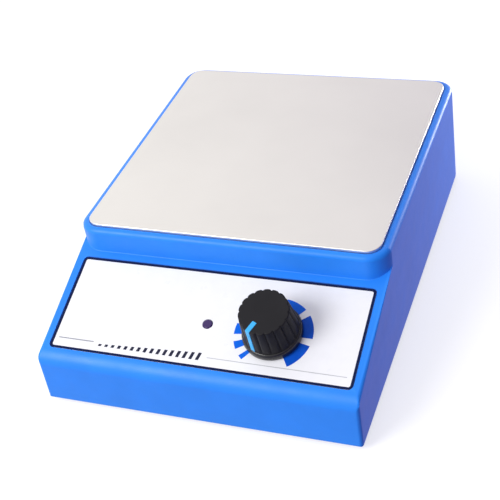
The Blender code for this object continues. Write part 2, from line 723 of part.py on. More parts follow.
def flute_cutters():
    """Round bars that lean with the taper and take the flutes out of the knob's side."""
    bm = bmesh.new()
    low, high = SKIRT_TOP + FLUTE_START, KNOB_TOP + 2 * OVERLAP
    lean = math.atan((side_radius(high) - side_radius(low)) / (high - low))
    middle = (low + high) / 2
    for flute in range(FLUTES):
        angle = POINTER_ANGLE + 2 * math.pi * (flute + 0.5) / FLUTES
        place = KNOB @ Matrix.Rotation(angle, 4, "Z")
        place = place @ Matrix.Translation((side_radius(middle) + FLUTE_RADIUS - FLUTE_DEPTH, 0.0, middle))
        place = place @ Matrix.Rotation(lean, 4, "Y")
        add_cylinder(bm, FLUTE_RADIUS, (low - high) / 2, (high - low) / 2, place, sides=10)
    return bm


def d_section(radius, flat):
    """A circle with a flat on its +X side."""
    open_angle = math.degrees(math.acos(flat / radius))
    return arc((0.0, 0.0), radius, open_angle, 360 - open_angle, 24)


def make_knob():
    profile = [
        (0.0, KNOB_TOP),
        (KNOB_TOP_RADIUS - KNOB_EDGE, KNOB_TOP),
        (KNOB_TOP_RADIUS, KNOB_TOP - KNOB_EDGE),
        (KNOB_WAIST_RADIUS, SKIRT_TOP),
        (SKIRT_RADIUS - SKIRT_ROUNDING, SKIRT_TOP - 0.5 * SKIRT_ROUNDING),
        (SKIRT_RADIUS, SKIRT_TOP - 1.8 * SKIRT_ROUNDING),
        (SKIRT_RADIUS, KNOB_BOTTOM),
        (KNOB_HOLLOW_RADIUS, KNOB_BOTTOM),
        (KNOB_HOLLOW_RADIUS, KNOB_HOLLOW_TOP),
        (0.0, KNOB_HOLLOW_TOP),
    ]
    knob = turned("speed_knob", profile, BLACK_PLASTIC, KNOB, 54)
    cut(knob, "knob_flutes", flute_cutters())
    cut(knob, "pointer_slot", pointer_shape(FINE_GAP / 2))
    bore = bmesh.new()
    section = d_section(SHAFT_RADIUS + FINE_GAP, SHAFT_FLAT + FINE_GAP)
    add_slab(bore, section, 0.0, SHAFT_TOP + FINE_GAP, KNOB)
    cut(knob, "knob_bore", bore)
    solid("knob_pointer", pointer_shape(0.0), POINTER_BLUE, KNOB)


def make_potentiometer():
    body_bottom = POT_TOP - POT_SIZE.z
    body = bmesh.new()
    add_box(body, POT_SIZE, (0.0, 0.0, (POT_TOP + body_bottom) / 2), KNOB)
    pot = solid("pot_body", body, GREY_PLASTIC)
    well = bmesh.new()
    add_cylinder(well, SHAFT_RADIUS + 2 * GAP, SHAFT_BOTTOM - GAP, 0.0, KNOB, sides=24)
    cut(pot, "pot_well", well)
    soften(pot, POT_ROUNDING)

    bushing = ring_profile(SHAFT_RADIUS + FINE_GAP / 2, BUSH_RADIUS, POT_TOP + FINE_GAP, BUSH_TOP)
    turned("pot_bushing", bushing, NICKEL, KNOB, 32)
    shaft = turned("pot_shaft", ring_profile(0.0, SHAFT_RADIUS, SHAFT_BOTTOM, SHAFT_TOP), NICKEL, KNOB, 32)
    flat = bmesh.new()
    size = (SHAFT_RADIUS, 3 * SHAFT_RADIUS, 2 * (SHAFT_TOP - SHAFT_FLAT_BOTTOM))
    add_box(flat, size, (SHAFT_FLAT + SHAFT_RADIUS / 2, 0.0, SHAFT_TOP), KNOB)
    cut(shaft, "shaft_flat", flat)
    bore = BUSH_RADIUS + FINE_GAP
    washer = ring_profile(bore, WASHER_RADIUS, FINE_GAP - OVERLAY_RECESS, WASHER_TOP)
    turned("pot_washer", washer, ZINC_STEEL, KNOB, 28)
    make_nut("pot_nut", KNOB, bore, POT_NUT_RADIUS, WASHER_TOP + FINE_GAP, POT_NUT_TOP)


def make_nut(name, frame, bore, corner_radius, low, high):
    bm = bmesh.new()
    add_cylinder(bm, corner_radius, low, high, frame, sides=6)
    nut = solid(name, bm, NICKEL)
    hole = bmesh.new()
    add_cylinder(hole, bore, low - (high - low), high + (high - low), frame, sides=24)
    cut(nut, f"{name}_bore", hole)


# ---------------------------------------------------------------- lamp and control board


def make_lamp():
    under = -WALL - GAP
    lens = [
        (0.0, LENS_TOP),
        (LENS_RADIUS - LENS_EDGE, LENS_TOP),
        (LENS_RADIUS, LENS_TOP - LENS_EDGE),
        (LENS_RADIUS, under),
        (LENS_FLANGE_RADIUS, under),
        (LENS_FLANGE_RADIUS, under - LENS_FLANGE),
        (0.0, under - LENS_FLANGE),
    ]
    turned("lamp_lens", lens, LAMP_PLASTIC, LAMP, 28)
    low = BOARD_TOP + FINE_GAP
    led = [
        (0.0, LED_TOP),
        (0.7 * LED_RADIUS, LED_TOP - 0.2 * LED_RADIUS),
        (LED_RADIUS, LED_TOP - 0.7 * LED_RADIUS),
        (LED_RADIUS, low + LED_RIM),
        (1.25 * LED_RADIUS, low + LED_RIM),
        (1.25 * LED_RADIUS, low),
        (0.0, low),
    ]
    turned("status_led", led, LAMP_PLASTIC, LAMP, 20)


def make_board():
    bm = bmesh.new()
    middle = (BOARD_U, BOARD_V, (BOARD_TOP + BOARD_BOTTOM) / 2)
    add_box(bm, BOARD_SIZE, middle, PANEL, BOARD_SIZE.z, 3)
    board = solid("control_board", bm, BOARD_GREEN)
    holes = bmesh.new()
    for u in BOARD_SCREW_U:
        add_cylinder(holes, clearance(BOARD_SCREW), 2 * BOARD_TOP, 0.0, PANEL, (u, BOARD_SCREW_V), sides=16)
    cut(board, "board_holes", holes)
    for side, u in zip(("left", "right"), BOARD_SCREW_U):
        frame = PANEL @ Matrix.Translation((u, BOARD_SCREW_V, BOARD_BOTTOM - FINE_GAP))
        make_screw(f"board_screw_{side}", frame, BOARD_SCREW)


def make_board_parts():
    """The parts that hang under the board."""
    pieces = (
        ("driver_ic", DRIVER_SIZE, DRIVER, BLACK_PLASTIC),
        ("mosfet", MOSFET_SIZE, MOSFET, BLACK_PLASTIC),
        ("power_header", HEADER_SIZE, POWER_HEADER, WHITE_FILM),
        ("motor_header", HEADER_SIZE, MOTOR_HEADER, WHITE_FILM),
    )
    for name, size, place, material in pieces:
        bm = bmesh.new()
        add_box(bm, size, (place.x, place.y, PARTS_LEVEL - size.z / 2), PANEL)
        soften(solid(name, bm, material), GAP, 1)
    radius, edge = CAPACITOR_RADIUS, CAPACITOR_RADIUS / 8
    low = PARTS_LEVEL - CAPACITOR_HEIGHT
    can = [
        (0.0, PARTS_LEVEL),
        (radius - edge, PARTS_LEVEL),
        (radius, PARTS_LEVEL - edge),
        (radius, low + edge),
        (radius - edge, low),
        (0.0, low),
    ]
    frame = PANEL @ Matrix.Translation((CAPACITOR.x, CAPACITOR.y, 0.0))
    turned("capacitor", can, BLACK_PLASTIC, frame, 20)


# ---------------------------------------------------------------- motor


def make_motor_case():
    can = [
        (BEARING_HOLE, MOTOR_BOSS_TOP),
        (MOTOR_BOSS_RADIUS, MOTOR_BOSS_TOP),
        (MOTOR_BOSS_RADIUS, MOTOR_TOP),
        (MOTOR_RADIUS, MOTOR_TOP),
        (MOTOR_RADIUS, MOTOR_BOTTOM),
        (MOTOR_RADIUS - CAN_WALL, MOTOR_BOTTOM),
        (MOTOR_RADIUS - CAN_WALL, MOTOR_TOP - CAN_WALL),
        (BEARING_HOLE, MOTOR_TOP - CAN_WALL),
    ]
    motor = turned("motor_can", can, ZINC_STEEL, AXIS, 28)
    holes = bmesh.new()
    for x in (-MOTOR_SCREW_X, MOTOR_SCREW_X):
        low, high = MOTOR_TOP - 2 * CAN_WALL, MOTOR_TOP + CAN_WALL
        add_cylinder(holes, pilot(MOTOR_SCREW), low, high, AXIS, (x, 0.0), sides=12)
    cut(motor, "motor_screw_holes", holes)
    spigot = MOTOR_RADIUS - CAN_WALL - GAP
    cap = [
        (BEARING_HOLE, SPIGOT_TOP),
        (spigot, SPIGOT_TOP),
        (spigot, CAP_TOP),
        (MOTOR_RADIUS, CAP_TOP),
        (MOTOR_RADIUS, CAP_BOTTOM),
        (BEARING_HOLE, CAP_BOTTOM),
    ]
    turned("motor_end_cap", cap, BLACK_PLASTIC, AXIS, 28)
    levels = {"front": (MOTOR_TOP - CAN_WALL, MOTOR_BOSS_TOP), "rear": (CAP_BOTTOM, SPIGOT_TOP)}
    for side, (low, high) in levels.items():
        turned(f"{side}_bearing", ring_profile(BEARING_BORE, BEARING_RADIUS, low, high), BRASS, AXIS, 24)
    for side, turn in (("front", 180.0), ("rear", 0.0)):
        bm = bmesh.new()
        start, end = turn + FIELD_START, turn + FIELD_END
        outline = arc((0.0, 0.0), FIELD_OUTER, start, end, 10)
        outline += arc((0.0, 0.0), FIELD_INNER, end, start, 10)
        add_slab(bm, outline, FIELD_BOTTOM, FIELD_TOP, AXIS)
        solid(f"field_magnet_{side}", bm, FERRITE)


def core_outline():
    """The armature's poles, each a neck with a curved shoe."""
    neck_hub = math.degrees(math.asin(NECK / 2 / HUB_RADIUS))
    neck_shoe = math.degrees(math.asin(NECK / 2 / SHOE_INNER))
    outline = []
    for pole in range(POLES):
        middle = 360.0 / POLES * pole
        before, after = middle - SHOE_HALF_ANGLE, middle + SHOE_HALF_ANGLE
        outline += arc((0.0, 0.0), HUB_RADIUS, middle - 360.0 / POLES + neck_hub, middle - neck_hub, 3)
        outline += arc((0.0, 0.0), SHOE_INNER, middle - neck_shoe, before, 3)
        outline += arc((0.0, 0.0), CORE_RADIUS, before, after, 8)
        outline += arc((0.0, 0.0), SHOE_INNER, after, middle + neck_shoe, 3)
    return outline


def make_armature():
    turned("motor_shaft", ring_profile(0.0, AXLE_RADIUS, AXLE_BOTTOM, AXLE_TOP), ZINC_STEEL, AXIS, 24)
    ring = ring_profile(BEARING_BORE, COMMUTATOR_RADIUS, COMMUTATOR_BOTTOM, COMMUTATOR_TOP)
    turned("commutator", ring, COPPER, AXIS, 24)
    core = bmesh.new()
    add_slab(core, core_outline(), CORE_BOTTOM, CORE_TOP, AXIS)
    armature = solid("armature_core", core, ZINC_STEEL, AXIS)
    bore = bmesh.new()
    add_cylinder(bore, BEARING_BORE, 0.0, MOTOR_TOP, AXIS, sides=24)
    cut(armature, "core_bore", bore)
    for pole in range(POLES):
        make_coil(pole)


def make_coil(pole):
    """A winding around the neck of one pole."""
    frame = AXIS @ Matrix.Rotation(2 * math.pi * pole / POLES, 4, "Z")
    middle = (COIL_RADIUS, 0.0, (CORE_BOTTOM + CORE_TOP) / 2)
    tall = CORE_TOP - CORE_BOTTOM
    bm = bmesh.new()
    add_box(bm, (COIL_DEPTH, COIL_WIDTH, tall + 2 * COIL_END), middle, frame)
    coil = solid(f"armature_coil_{pole + 1}", bm, COPPER, AXIS)
    hole = bmesh.new()
    add_box(hole, (2 * COIL_DEPTH, NECK + 2 * FINE_GAP, tall + 2 * FINE_GAP), middle, frame)
    cut(coil, f"coil_window_{pole + 1}", hole)


def make_bracket():
    bm = bmesh.new()
    middle = (0.0, AXIS_Y, (BRACKET_BOTTOM + BRACKET_TOP) / 2)
    add_box(bm, BRACKET_SIZE, middle, corner_radius=BRACKET_CORNER, segments=4)
    bracket = solid("motor_bracket", bm, ZINC_STEEL)
    holes = bmesh.new()
    low, high = BRACKET_BOTTOM - WALL, BRACKET_TOP + WALL
    add_cylinder(holes, MOTOR_BOSS_RADIUS + GAP, low, high, AXIS, sides=24)
    for x in (-MOTOR_SCREW_X, MOTOR_SCREW_X):
        add_cylinder(holes, clearance(MOTOR_SCREW), low, high, AXIS, (x, 0.0), sides=12)
    for _, x, y in bracket_places():
        add_cylinder(holes, clearance(BRACKET_SCREW), low, high, at=(x, y), sides=16)
    cut(bracket, "bracket_holes", holes)
    for place, x, y in bracket_places():
        make_screw(f"bracket_screw_{place}", lift(x, y, BRACKET_BOTTOM - FINE_GAP), BRACKET_SCREW)
    for side, x in (("left", -MOTOR_SCREW_X), ("right", MOTOR_SCREW_X)):
        frame = lift(x, AXIS_Y, BRACKET_TOP + FINE_GAP) @ Matrix.Rotation(math.pi, 4, "X")
        make_screw(f"motor_screw_{side}", frame, MOTOR_SCREW)


def make_carrier():
    """The bar on the motor's shaft that holds the drive magnets, and the screw that clamps it."""
    bm = bmesh.new()
    centre_z = (CARRIER_BOTTOM + CARRIER_TOP) / 2
    size = (CARRIER_LENGTH, CARRIER_WIDTH, CARRIER_TOP - CARRIER_BOTTOM)
    end_radius = 0.98 * CARRIER_WIDTH / 2
    add_box(bm, size, (0.0, AXIS_Y, centre_z), corner_radius=end_radius, segments=6)
    carrier = solid("magnet_carrier", bm, GREY_PLASTIC, AXIS)
    holes = bmesh.new()
    add_cylinder(holes, BEARING_BORE, CARRIER_BOTTOM - WALL, CARRIER_TOP + WALL, AXIS, sides=24)
    floor = CARRIER_TOP - MAGNET_THICKNESS - FINE_GAP
    for x in (-MAGNET_X, MAGNET_X):
        add_cylinder(holes, MAGNET_RADIUS + FINE_GAP, floor, CARRIER_TOP + WALL, AXIS, (x, 0.0), sides=24)
    cut(carrier, "carrier_holes", holes)
    grub = AXIS @ Matrix.Translation((0.0, 0.0, centre_z)) @ Matrix.Rotation(math.radians(90), 4, "X")
    thread = bmesh.new()
    add_cylinder(thread, GRUB_RADIUS + FINE_GAP, 0.0, CARRIER_WIDTH, grub, sides=16)
    cut(carrier, "grub_hole", thread)
    low, high = AXLE_RADIUS + FINE_GAP, CARRIER_WIDTH / 2 - GRUB_INSET
    screw = [
        (0.0, high - GRUB_SOCKET_DEPTH),
        (GRUB_SOCKET_RADIUS, high - GRUB_SOCKET_DEPTH),
        (GRUB_SOCKET_RADIUS, high),
        (GRUB_RADIUS, high),
        (GRUB_RADIUS, low),
        (0.0, low),
    ]
    turned("grub_screw", screw, BLACK_PLASTIC, grub, 12)
    for side, x in (("left", -MAGNET_X), ("right", MAGNET_X)):
        profile = ring_profile(0.0, MAGNET_RADIUS, CARRIER_TOP - MAGNET_THICKNESS, CARRIER_TOP)
        place = Matrix.Translation((x, 0.0, 0.0))
        magnet = turned(f"drive_magnet_{side}", profile, NICKEL, AXIS @ place, 24)
        magnet.data.transform(place)
        magnet.matrix_world = AXIS


# ---------------------------------------------------------------- supply socket and leads


def make_jack():
    under = FINE_GAP - JACK_RECESS
    body = [
        (0.0, JACK_BORE_END),
        (JACK_BORE_RADIUS, JACK_BORE_END),
        (JACK_BORE_RADIUS, JACK_FACE),
        (JACK_FLANGE_RADIUS, JACK_FACE),
        (JACK_FLANGE_RADIUS, under),
        (JACK_BARREL_RADIUS, under),
        (JACK_BARREL_RADIUS, JACK_END),
        (0.0, JACK_END),
    ]
    turned("dc_jack", body, BLACK_PLASTIC, JACK, 28)
    top, bottom = JACK_FACE - PIN_INSET, JACK_BORE_END + FINE_GAP
    pin = [
        (0.0, top),
        (PIN_TIP_RADIUS, top),
        (PIN_RADIUS, top - PIN_TIP),
        (PIN_RADIUS, bottom),
        (0.0, bottom),
    ]
    turned("dc_jack_pin", pin, NICKEL, JACK, 16)
    high = -JACK_PAD_DEPTH - FINE_GAP
    bore = JACK_BARREL_RADIUS + FINE_GAP
    make_nut("dc_jack_nut", JACK, bore, JACK_NUT_RADIUS, high - JACK_NUT_HEIGHT, high)


def make_lead(name, points, material):
    curve = bpy.data.curves.new(name, "CURVE")
    curve.dimensions = "3D"
    curve.bevel_depth = LEAD_RADIUS
    curve.bevel_resolution = 1
    curve.resolution_u = 4
    curve.use_fill_caps = True
    spline = curve.splines.new("BEZIER")
    spline.bezier_points.add(len(points) - 1)
    for place, point in zip(spline.bezier_points, points):
        place.co = point
        place.handle_left_type = "AUTO"
        place.handle_right_type = "AUTO"
    curve.materials.append(material)
    PARTS.objects.link(bpy.data.objects.new(name, curve))


def make_motor_lead(name, shift, material):
    """From the board's motor header, along the floor, to the motor's end cap."""
    start = PANEL @ Vector((MOTOR_HEADER.x + shift, MOTOR_HEADER.y, LEAD_START))
    end = Vector((3 * shift, AXIS_Y - 6.0 * MM, CAP_BOTTOM - LEAD_RADIUS - LEAD_END_GAP))
    route = [
        start,
        start + Vector((0.0, 5.0, -2.2)) * MM,
        Vector((5.0 * MM + shift, -35.0 * MM, LEAD_FLOOR_Z)),
        Vector((3.0 * MM + 2 * shift, -5.0 * MM, LEAD_FLOOR_Z)),
        end + Vector((0.0, -4.0, -0.7)) * MM,
        end,
    ]
    make_lead(name, route, material)


def make_power_lead(name, shift, material):
    """From the board's power header, along the floor, to the supply socket."""
    start = PANEL @ Vector((POWER_HEADER.x + shift, POWER_HEADER.y, LEAD_START))
    end = JACK @ Vector((shift, 0.0, JACK_END - LEAD_END_GAP))
    route = [
        start,
        start + Vector((-4.0, 5.0, -2.2)) * MM,
        Vector((-22.0 * MM + shift, -48.0 * MM, LEAD_FLOOR_Z)),
        Vector((-30.0 * MM + shift, -10.0 * MM, LEAD_FLOOR_Z)),
        Vector((-32.0 * MM + shift, 40.0 * MM, LEAD_FLOOR_Z)),
        Vector((JACK_X + shift, 62.0 * MM, JACK_Z / 2)),
        end + Vector((0.0, -5.0, -1.5)) * MM,
        end,
    ]
    make_lead(name, route, material)


def make_leads():
    for shift, color, material in ((-LEAD_SPACING, "black", BLACK_WIRE), (LEAD_SPACING, "red", RED_WIRE)):
        make_motor_lead(f"motor_lead_{color}", shift, material)
        make_power_lead(f"power_lead_{color}", shift, material)


make_housing()
make_work_plate()
make_overlay()
make_base_cover()
make_feet()
make_base_screws()
make_knob()
make_potentiometer()
make_lamp()
make_board()
make_board_parts()
make_motor_case()
make_armature()
make_bracket()
make_carrier()
make_jack()
make_leads()
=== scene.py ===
import json
import math

import bmesh
import bpy
from mathutils import Matrix, Vector

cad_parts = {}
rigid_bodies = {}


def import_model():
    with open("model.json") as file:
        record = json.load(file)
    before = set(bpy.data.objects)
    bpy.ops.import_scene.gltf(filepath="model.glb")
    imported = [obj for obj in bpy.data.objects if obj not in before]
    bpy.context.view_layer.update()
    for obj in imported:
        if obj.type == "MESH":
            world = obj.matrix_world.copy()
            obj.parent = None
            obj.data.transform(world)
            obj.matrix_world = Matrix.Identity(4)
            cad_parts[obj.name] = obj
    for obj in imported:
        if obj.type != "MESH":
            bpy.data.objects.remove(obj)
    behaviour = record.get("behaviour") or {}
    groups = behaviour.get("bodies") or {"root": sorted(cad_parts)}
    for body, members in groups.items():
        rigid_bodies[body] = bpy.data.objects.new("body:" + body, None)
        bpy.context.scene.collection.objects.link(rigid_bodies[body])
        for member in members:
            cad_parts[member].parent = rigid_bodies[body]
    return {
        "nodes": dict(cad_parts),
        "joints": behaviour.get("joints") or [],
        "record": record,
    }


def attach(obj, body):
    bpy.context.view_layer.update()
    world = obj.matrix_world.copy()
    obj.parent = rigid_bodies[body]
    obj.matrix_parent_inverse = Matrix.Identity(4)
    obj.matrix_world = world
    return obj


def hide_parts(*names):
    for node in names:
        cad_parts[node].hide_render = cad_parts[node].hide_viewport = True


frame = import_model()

for startup in [obj for obj in bpy.data.objects if obj.name in ("Cube", "Light", "Camera")]:
    bpy.data.objects.remove(startup)
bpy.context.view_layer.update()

MM = 0.001

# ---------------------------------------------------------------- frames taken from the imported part


def panel_frame():
    """Frame of the sloped panel at the knob's axis: X to the right, Y up the slope, Z out of it."""
    turn = next(joint for joint in frame["joints"] if joint["name"] == "knob_turn")
    normal = -Vector(turn["axis"])
    right = Vector((1.0, 0.0, 0.0))
    up_slope = normal.cross(right)
    rotation = Matrix((right, up_slope, normal)).transposed().to_4x4()
    return Matrix.Translation(turn["pos_m"]) @ rotation


def points_of(node, within):
    """The corners of a node's mesh, in another frame."""
    inverse = within.inverted()
    return [inverse @ vert.co for vert in frame["nodes"][node].data.vertices]


KNOB = panel_frame()
FILM_POINTS = points_of("panel_overlay", KNOB)
FILM_LOW = Vector([min(point[axis] for point in FILM_POINTS) for axis in range(3)])
FILM_HIGH = Vector([max(point[axis] for point in FILM_POINTS) for axis in range(3)])
FILM_WIDTH, FILM_HEIGHT = (FILM_HIGH - FILM_LOW).xy
FILM_MIDDLE = (FILM_LOW + FILM_HIGH) / 2
# The printed film's frame has its origin in the middle of the film's face
FILM = KNOB @ Matrix.Translation((FILM_MIDDLE.x, FILM_MIDDLE.y, FILM_HIGH.z))

# ---------------------------------------------------------------- materials

# Ranges of Cycles' pointiness, where 0.5 is flat and more stands out
WEAR_START, WEAR_END = 0.58, 0.68
# Painted shade: inner corners darken between these two pointiness values
CREASE_SHADE_END, CREASE_SHADE_START = 0.3, 0.44


def scaled(color, factor, added=0.0):
    """A colour made lighter or darker, with no channel above 1."""
    return tuple(min(1.0, factor * channel + added) for channel in color)


class Surface:
    """A Principled material and the nodes that give it grain, mottling, worn edges and painted shade in
    creases.
    """

    def __init__(self, name, color, roughness, metallic=0.0, specular=0.5):
        self.material = bpy.data.materials.new(name)
        self.material.use_nodes = True
        self.tree = self.material.node_tree
        self.shader = self.tree.nodes["Principled BSDF"]
        self.color = color
        self.roughness = roughness
        self.shader.inputs["Metallic"].default_value = metallic
        self.shader.inputs["Specular IOR Level"].default_value = specular
        self.place = self.tree.nodes.new("ShaderNodeTexCoord").outputs["Object"]
        self.base = None

    def link(self, source, target):
        self.tree.links.new(source, target)

    def stretched(self, scale, turn=(0.0, 0.0, 0.0)):
        """The place on the surface, scaled along each axis and then turned."""
        mapping = self.tree.nodes.new("ShaderNodeMapping")
        mapping.inputs["Scale"].default_value = scale
        mapping.inputs["Rotation"].default_value = turn
        self.link(self.place, mapping.inputs["Vector"])
        return mapping.outputs["Vector"]

    def noise(self, per_metre, detail=3.0, roughness=0.55, vector=None):
        node = self.tree.nodes.new("ShaderNodeTexNoise")
        node.inputs["Scale"].default_value = per_metre
        node.inputs["Detail"].default_value = detail
        node.inputs["Roughness"].default_value = roughness
        self.link(self.place if vector is None else vector, node.inputs["Vector"])
        return node.outputs["Fac"]

    def spread(self, value, low, high, from_low=0.3, from_high=0.7):
        """The value moved from its usual range to low..high."""
        node = self.tree.nodes.new("ShaderNodeMapRange")
        node.inputs["From Min"].default_value = from_low
        node.inputs["From Max"].default_value = from_high
        node.inputs["To Min"].default_value = low
        node.inputs["To Max"].default_value = high
        self.link(value, node.inputs["Value"])
        return node.outputs["Result"]

    def mixed(self, factor, first, second):
        """Two colours blended by a factor. Each is a colour or a node's output."""
        node = self.tree.nodes.new("ShaderNodeMix")
        node.data_type = "RGBA"
        self.link(factor, node.inputs["Factor"])
        for value, socket in ((first, node.inputs["A"]), (second, node.inputs["B"])):
            if isinstance(value, tuple):
                socket.default_value = (*value, 1.0)
            else:
                self.link(value, socket)
        return node.outputs["Result"]

    def mottle(self, amount, per_metre=60.0):
        """A slow drift of the colour, darker and lighter by the amount."""
        darker, lighter = scaled(self.color, 1.0 - amount), scaled(self.color, 1.0 + amount)
        self.base = self.mixed(self.spread(self.noise(per_metre), 0.0, 1.0), darker, lighter)
        return self

    def worn(self, color, strength):
        """A lighter colour where edges stand out."""
        edge = self.tree.nodes.new("ShaderNodeNewGeometry").outputs["Pointiness"]
        factor = self.spread(edge, 0.0, strength, WEAR_START, WEAR_END)
        self.base = self.mixed(factor, self.base, color)
        return self

    def shade_creases(self, color):
        """Painted shade: a darker colour in the sharpest inner corners, where shade would fall."""
        edge = self.tree.nodes.new("ShaderNodeNewGeometry").outputs["Pointiness"]
        factor = self.spread(edge, 1.0, 0.0, CREASE_SHADE_END, CREASE_SHADE_START)
        self.base = self.mixed(factor, self.base, color)
        return self

    def gloss(self, amount, per_metre=150.0, vector=None):
        """Roughness that drifts either way by the amount."""
        value = self.noise(per_metre, vector=vector)
        result = self.spread(value, self.roughness - amount, self.roughness + amount)
        self.link(result, self.shader.inputs["Roughness"])
        return self

    def grain(self, depth, per_metre, detail=2.0, vector=None):
        """A fine bump of the given depth in metres."""
        bump = self.tree.nodes.new("ShaderNodeBump")
        bump.inputs["Strength"].default_value = 1.0
        bump.inputs["Distance"].default_value = depth
        self.link(self.noise(per_metre, detail, roughness=0.5, vector=vector), bump.inputs["Height"])
        earlier = self.shader.inputs["Normal"].links
        if earlier:
            self.link(earlier[0].from_socket, bump.inputs["Normal"])
        self.link(bump.outputs["Normal"], self.shader.inputs["Normal"])
        return self

    def done(self):
        self.link(self.base, self.shader.inputs["Base Color"])
        return self.material


def moulded(name, color, roughness, grain=0.010 * MM, mottle=0.05, specular=0.5, sheen=0.0):
    """A moulded material with a fine grain and a slight waviness."""
    surface = Surface(name, color, roughness, specular=specular).mottle(mottle)
    surface.shader.inputs["Sheen Weight"].default_value = sheen
    surface.shader.inputs["Sheen Roughness"].default_value = 0.45
    surface.shader.inputs["Sheen Tint"].default_value = (0.95, 0.75, 1.0, 1.0)
    surface.worn(scaled(color, factor=1.15, added=0.02), strength=0.5)
    # Painted shade: the sharpest inner corners are darkened to under half the colour
    surface.shade_creases(scaled(color, factor=0.45)).gloss(0.05)
    surface.grain(grain, per_metre=2600.0)
    return surface.grain(depth=0.03 * MM, per_metre=120.0).done()


def satin_metal(name, color, roughness):
    """Plated or drawn metal with faint scratches."""
    surface = Surface(name, color, roughness, metallic=1.0).mottle(0.06, per_metre=200.0)
    scratches = surface.stretched(scale=(1.0, 14.0, 1.0), turn=(0.0, 0.0, 0.4))
    surface.worn(scaled(color, factor=1.2), strength=0.6)
    surface.gloss(0.08, per_metre=400.0, vector=scratches)
    return surface.grain(depth=0.004 * MM, per_metre=900.0, detail=3.0, vector=scratches).done()


def ink(name, color, roughness=0.35, specular=0.2, mottle=0.08):
    """Ink, lacquer or film: nearly even, with a slight drift of shade and a very fine texture."""
    surface = Surface(name, color, roughness, specular=specular)
    surface.mottle(mottle, per_metre=250.0).gloss(0.05)
    return surface.grain(depth=0.003 * MM, per_metre=3000.0).done()


def plate_steel():
    """Satin stainless sheet, ground from side to side, with a few broad soft clouds."""
    surface = Surface("plate_steel", (0.92, 0.89, 0.845), 0.38, metallic=1.0)
    surface.mottle(0.025, per_metre=18.0)
    ground = surface.stretched(scale=(2.0, 60.0, 2.0))
    surface.gloss(0.06, per_metre=60.0, vector=ground)
    surface.worn((0.95, 0.94, 0.93), strength=0.5)
    return surface.grain(depth=0.002 * MM, per_metre=90.0, detail=4.0, vector=ground).done()


MATERIALS = {
    "blue_plastic": moulded("housing_blue", (0.006, 0.212, 0.82), 0.44, specular=0.35, sheen=0.25),
    "black_plastic": moulded("black_plastic", (0.0165, 0.016, 0.0185), 0.46, mottle=0.12, specular=0.12),
    "skirt_plastic": moulded("skirt_plastic", (0.009, 0.0085, 0.0105), 0.24, grain=0.003 * MM),
    "grey_plastic": moulded("grey_plastic", (0.2, 0.21, 0.23), 0.5),
    "white_film": ink("film_white", (0.8, 0.805, 0.83), 0.32, specular=0.3, mottle=0.012),
    "pointer_blue": moulded("pointer_blue", (0.03, 0.4, 0.8), 0.4),
    "lamp_plastic": moulded("lamp_violet", (0.035, 0.012, 0.1), 0.14, grain=0.002 * MM),
    "rubber": moulded("foot_rubber", (0.025, 0.025, 0.026), 0.75, grain=0.03 * MM, mottle=0.15),
    "brushed_steel": plate_steel(),
    "zinc_steel": satin_metal("zinc_steel", (0.6, 0.61, 0.63), 0.35),
    "nickel": satin_metal("nickel", (0.74, 0.72, 0.68), 0.22),
    "brass": satin_metal("sintered_bronze", (0.6, 0.42, 0.2), 0.45),
    "copper": satin_metal("copper_wire", (0.75, 0.33, 0.17), 0.35),
    "ferrite": moulded("ferrite", (0.07, 0.07, 0.075), 0.65, grain=0.03 * MM),
    "board_green": ink("board_green", (0.015, 0.16, 0.06), 0.3),
    "red_wire": moulded("red_insulation", (0.55, 0.015, 0.015), 0.42),
    "black_wire": moulded("black_insulation", (0.02, 0.02, 0.02), 0.42),
    "border_ink": ink("border_ink", (0.003, 0.009, 0.055), specular=0.1),
    "scale_ink": ink("scale_ink", (0.001, 0.12, 0.71), specular=0.1),
    # Painted shade: a darker copy of the scale ink for the wedges in the knob's shadow
    "scale_ink_painted_shade": ink("scale_ink_painted_shade", (0.003, 0.075, 0.5), specular=0.1),
    "line_ink": ink("line_ink", (0.3, 0.31, 0.34)),
    "faint_ink": ink("faint_ink", (0.45, 0.46, 0.48)),
    "mark_ink": ink("mark_ink", (0.02, 0.022, 0.045), specular=0.1),
}

# ---------------------------------------------------------------- making pieces

SMOOTH_ANGLE = 38.0
WELD_DISTANCE = 0.002 * MM  # corners of a mesh nearer than this are one
FLAT_ANGLE = math.radians(0.5)  # faces that turn by less than this are one
EDGE_ROUNDING = 0.15 * MM
ROUNDED_ANGLE = math.radians(40.0)  # edges that turn by more than this are rounded


def piece(name, bm, finish, body, replaced=(), angle=SMOOTH_ANGLE):
    """A new piece of the look, shaded smooth where it turns by less than the angle.

    It rides on a body, and may stand for CAD nodes.
    """
    bmesh.ops.recalc_face_normals(bm, faces=bm.faces)
    mesh = bpy.data.meshes.new(name)
    bm.to_mesh(mesh)
    bm.free()
    mesh.materials.append(MATERIALS[finish])
    mesh.shade_smooth()
    mesh.set_sharp_from_angle(angle=math.radians(angle))
    obj = bpy.data.objects.new(name, mesh)
    bpy.context.scene.collection.objects.link(obj)
    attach(obj, body)
    if replaced:
        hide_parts(*replaced)
    return obj


def soften(obj, width):
    """A small rounding on every sharp edge."""
    bevel = obj.modifiers.new("soft_edges", "BEVEL")
    bevel.width = width
    bevel.segments = 2
    bevel.limit_method = "ANGLE"
    bevel.angle_limit = ROUNDED_ANGLE
    bevel.harden_normals = True


def keep_flats_flat(obj):
    """Shades large flat faces evenly where they run into a rounding."""
    weighted = obj.modifiers.new("flat_faces", "WEIGHTED_NORMAL")
    weighted.mode = "FACE_AREA"
    weighted.weight = 100
    weighted.keep_sharp = True


def body_of(node):
    bodies = frame["record"]["behaviour"]["bodies"]
    return next(body for body, nodes in bodies.items() if node in nodes)


def slot_of(node):
    return next(part["material_slot"] for part in frame["record"]["subparts"] if part["node"] == node)


